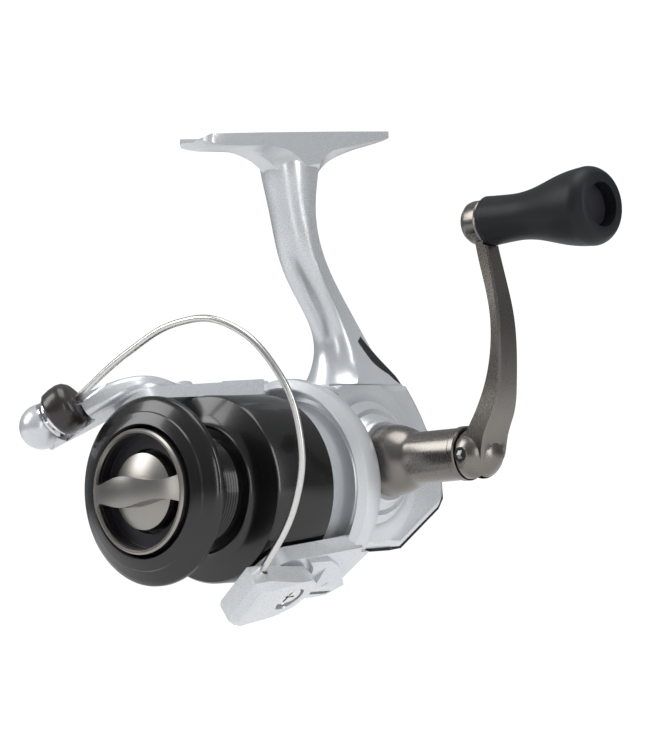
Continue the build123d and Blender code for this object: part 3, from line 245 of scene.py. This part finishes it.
def cap_dark():
    return surface("cap_dark", colours=((0.016, 0.012, 0.011), (0.026, 0.019, 0.017)),
                   roughness=(0.28, 0.34), grain=speckle(4200),
                   metallic=0.0, coat=0.2, grain_strength=0.01)


def steel():
    return surface("steel", colours=((0.45, 0.45, 0.45), (0.55, 0.55, 0.54)),
                   roughness=(0.22, 0.32), grain=lathe_marks("Y", 5200))


def brass():
    return surface("brass", colours=((0.62, 0.46, 0.20), (0.70, 0.54, 0.26)),
                   roughness=(0.22, 0.32), grain=lathe_marks("Y", 5200))


def zinc():
    return surface("zinc", colours=((0.36, 0.37, 0.38), (0.44, 0.45, 0.46)),
                   roughness=(0.42, 0.52), grain=speckle(2600))


def felt():
    return surface("felt", colours=((0.50, 0.46, 0.36), (0.62, 0.58, 0.48)),
                   roughness=(0.85, 0.95), grain=speckle(3000), metallic=0.0, grain_strength=0.5)


def polymer():
    return surface("polymer", colours=((0.62, 0.62, 0.58), (0.70, 0.70, 0.67)),
                   roughness=(0.40, 0.50), grain=speckle(2400), metallic=0.0)


FINISHES = (
    silver_paint, black_trim, spool_metal, drag_dark, pewter, handle_metal, knob_rubber, stainless, chrome,
    cap_dark, steel, brass, zinc, felt, polymer,
)


def paint_nodes():
    """Each CAD node takes the finish of its material slot in the record."""
    made = {finish.__name__: finish() for finish in FINISHES}
    slots = {part["node"]: part["material_slot"] for part in frame["record"]["subparts"]}
    for name, node in nodes.items():
        node.data.materials.clear()
        node.data.materials.append(made[slots[name]])
    return made


# ---------------------------------------------------------------- smoothing


def crease_group(name, crease_angle):
    """A geometry tree that joins split corners and shades smooth except over real edges."""
    tree = bpy.data.node_groups.new(name, "GeometryNodeTree")
    tree.interface.new_socket("Geometry", in_out="INPUT", socket_type="NodeSocketGeometry")
    tree.interface.new_socket("Geometry", in_out="OUTPUT", socket_type="NodeSocketGeometry")
    start = tree.nodes.new("NodeGroupInput")
    end = tree.nodes.new("NodeGroupOutput")
    clean = tree.nodes.new("GeometryNodeRemoveAttribute")
    clean.inputs["Name"].default_value = "custom_normal"
    merge = tree.nodes.new("GeometryNodeMergeByDistance")
    merge.inputs["Distance"].default_value = WELD_DISTANCE
    smooth = tree.nodes.new("GeometryNodeSetShadeSmooth")
    smooth.domain = "FACE"
    sharp = tree.nodes.new("GeometryNodeSetShadeSmooth")
    sharp.domain = "EDGE"
    sharp.inputs["Shade Smooth"].default_value = False
    angle = tree.nodes.new("GeometryNodeInputMeshEdgeAngle")
    compare = tree.nodes.new("FunctionNodeCompare")
    compare.data_type = "FLOAT"
    compare.operation = "GREATER_THAN"
    compare.inputs["B"].default_value = crease_angle
    links = tree.links
    links.new(start.outputs[0], clean.inputs["Geometry"])
    links.new(clean.outputs["Geometry"], merge.inputs["Geometry"])
    links.new(merge.outputs["Geometry"], smooth.inputs["Geometry"])
    links.new(smooth.outputs["Geometry"], sharp.inputs["Geometry"])
    links.new(angle.outputs["Unsigned Angle"], compare.inputs["A"])
    links.new(compare.outputs["Result"], sharp.inputs["Selection"])
    links.new(sharp.outputs["Geometry"], end.inputs[0])
    return tree


# how wide each visible casting's edges are rounded, in mm
BEVELS = {
    "housing": 0.45, "side_cover": 0.3, "rotor": 0.35, "arm_cover_a": 0.4, "arm_cover_b": 0.4,
    "bail_lever_a": 0.35, "bail_lever_b": 0.3, "drag_dial": 0.25, "handle_arm": 0.3, "rear_cover": 0.4,
    "spool": 0.12, "handle_sleeve": 0.12, "drag_knob": 0.15,
}


def soften_nodes():
    """Smooth shading on every CAD node, and small rounded edges on the visible castings."""
    usual = crease_group("smooth_over_small_angles", CREASE_ANGLE)
    thin_round = crease_group("smooth_round_parts", ROUND_CREASE_ANGLE)
    for name, node in nodes.items():
        smoother = node.modifiers.new("smooth_over_small_angles", "NODES")
        smoother.node_group = thin_round if name in ROUND_NODES else usual
        if name in BEVELS:
            bevel = node.modifiers.new("edge_rounding", "BEVEL")
            bevel.width = BEVELS[name] / 1000
            bevel.segments = 3
            bevel.limit_method = "ANGLE"
            bevel.angle_limit = CREASE_ANGLE
            bevel.harden_normals = True
            bevel.use_clamp_overlap = True


# ---------------------------------------------------------------- bail wire

ROTOR_TURN = math.radians(-33)  # the rotor's rest angle about the main shaft
WIRE_RADIUS = 0.8
WIRE_PATH = (
    (-7.0, -60.8, 32.1), (12.0, -60.1, 30.6), (28.0, -59.1, 26.5), (37.9, -57.8, 18.4),
    (41.9, -55.3, 2.6), (37.2, -53.0, -12.0), (26.2, -51.6, -22.3), (5.0, -50.8, -29.2),
)  # mm (sideways, along the shaft, towards the roller arm), arms upright


def smooth_bail_wire(steel_material):
    """An evenly divided tube in place of the CAD wire, so that its highlight runs unbroken."""
    data = bpy.data.curves.new("bail_wire_tube", "CURVE")
    data.dimensions = "3D"
    data.bevel_depth = WIRE_RADIUS / 1000
    data.bevel_resolution = 6
    data.resolution_u = 24
    data.use_fill_caps = True
    path = data.splines.new("BEZIER")
    path.bezier_points.add(len(WIRE_PATH) - 1)
    to_rest = Matrix.Rotation(ROTOR_TURN, 3, "Y")
    for knot, point in zip(path.bezier_points, WIRE_PATH):
        knot.co = SHAFT + to_rest @ (Vector(point) / 1000)
        knot.handle_left_type = "AUTO"
        knot.handle_right_type = "AUTO"
    tube = bpy.data.objects.new("bail_wire_tube", data)
    tube.data.materials.append(steel_material)
    bpy.context.scene.collection.objects.link(tube)
    bpy.context.view_layer.update()
    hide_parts("bail_wire")
    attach(tube, "bail")


# ---------------------------------------------------------------- studio


def floor():
    """Pale plain paper under the reel."""
    bpy.ops.mesh.primitive_plane_add(size=FLOOR_SIZE, location=SHAFT + Vector((0, 0, FLOOR_HEIGHT)))
    plane = bpy.context.object
    plane.name = "floor"
    material, tree, shader, coordinates = new_material("floor_paper")
    tone = between(tree, noise(tree, coordinates, 40.0), 0, 1)
    tree.links.new(tinted(tree, tone, (0.86, 0.86, 0.86), (0.88, 0.88, 0.88)), shader.inputs["Base Color"])
    shader.inputs["Roughness"].default_value = 0.9
    shader.inputs["Emission Color"].default_value = (1, 1, 1, 1)
    rays = tree.nodes.new("ShaderNodeLightPath")
    glow = between(tree, rays.outputs["Is Camera Ray"], 0, FLOOR_GLOW, 0, 1)
    tree.links.new(glow, shader.inputs["Emission Strength"])
    plane.data.materials.append(material)


def softbox(name, position, size, power):
    """A rectangular lamp, placed from the main shaft and aimed at the middle of the reel."""
    data = bpy.data.lights.new(name, "AREA")
    data.shape = "RECTANGLE"
    data.size, data.size_y = size
    data.energy = power
    lamp = bpy.data.objects.new(name, data)
    lamp.location = SHAFT + Vector(position)
    lamp.rotation_euler = (CAMERA_TARGET - lamp.location).to_track_quat("-Z", "Y").to_euler()
    bpy.context.scene.collection.objects.link(lamp)
    lamp.visible_camera = False


ROOM_LIGHT = 0.62
ROOM_REFLECTION = 0.46
BACKDROP_STRENGTH = 1.05
ROOM_FLOOR = (0.16, 0.165, 0.175, 1)
ROOM_CEILING = (0.85, 0.87, 0.90, 1)


def studio_world():
    """White to the camera; a bright room for soft light and a darker one for reflections."""
    world = bpy.data.worlds.new("studio")
    world.use_nodes = True
    bpy.context.scene.world = world
    tree = world.node_tree
    tree.nodes.clear()
    output = tree.nodes.new("ShaderNodeOutputWorld")
    mix = tree.nodes.new("ShaderNodeMixShader")
    white = tree.nodes.new("ShaderNodeBackground")
    white.inputs["Color"].default_value = (1, 1, 1, 1)
    white.inputs["Strength"].default_value = BACKDROP_STRENGTH
    room = tree.nodes.new("ShaderNodeBackground")
    coordinates = tree.nodes.new("ShaderNodeTexCoord").outputs["Generated"]
    split = tree.nodes.new("ShaderNodeSeparateXYZ")
    tree.links.new(coordinates, split.inputs[0])
    ramp = tree.nodes.new("ShaderNodeValToRGB")
    ramp.color_ramp.elements[0].position = 0.3
    ramp.color_ramp.elements[0].color = ROOM_FLOOR
    ramp.color_ramp.elements[1].position = 0.9
    ramp.color_ramp.elements[1].color = ROOM_CEILING
    height = between(tree, split.outputs["Z"], 0, 1, -1, 1)
    tree.links.new(height, ramp.inputs["Fac"])
    tree.links.new(ramp.outputs["Color"], room.inputs["Color"])
    rays = tree.nodes.new("ShaderNodeLightPath")
    room_strength = between(tree, rays.outputs["Is Glossy Ray"], ROOM_LIGHT, ROOM_REFLECTION, 0, 1)
    tree.links.new(room_strength, room.inputs["Strength"])
    tree.links.new(rays.outputs["Is Camera Ray"], mix.inputs["Fac"])
    tree.links.new(room.outputs[0], mix.inputs[1])
    tree.links.new(white.outputs[0], mix.inputs[2])
    tree.links.new(mix.outputs[0], output.inputs["Surface"])


def lights():
    """A large key from the front left, a top light and two narrow strips for the highlights."""
    softbox("key_left", (-0.8, -0.8, 0.75), (0.6, 0.8), 7.5)
    softbox("top", (0.1, -0.1, 1.1), (0.7, 0.9), 6.5)
    softbox("right_strip", (1.1, 0.1, 0.35), (0.25, 1.0), 4.5)
    softbox("front_strip", (0.75, -0.95, 0.1), (0.16, 0.8), 1.6)


def camera():
    """The photo's viewpoint, from its azimuth, pitch and roll."""
    sin_a, cos_a = math.sin(CAMERA_AZIMUTH), math.cos(CAMERA_AZIMUTH)
    sin_p, cos_p = math.sin(CAMERA_PITCH), math.cos(CAMERA_PITCH)
    back = Vector((sin_a * cos_p, -cos_a * cos_p, sin_p))
    level = Vector((cos_a, sin_a, 0))
    upright = back.cross(level)
    right = level * math.cos(CAMERA_ROLL) + upright * math.sin(CAMERA_ROLL)
    up = back.cross(right)
    place = CAMERA_TARGET + back * CAMERA_DISTANCE
    data = bpy.data.cameras.new("photo_camera")
    data.lens = CAMERA_LENS
    data.clip_start = 0.05
    data.clip_end = 50
    holder = bpy.data.objects.new("photo_camera", data)
    holder.matrix_world = Matrix.Translation(place) @ Matrix((right, up, back)).transposed().to_4x4()
    bpy.context.scene.collection.objects.link(holder)
    bpy.context.scene.camera = holder


finishes = paint_nodes()
soften_nodes()
smooth_bail_wire(finishes["stainless"])
floor()
studio_world()
lights()
camera()
bpy.context.scene.view_settings.view_transform = "Standard"
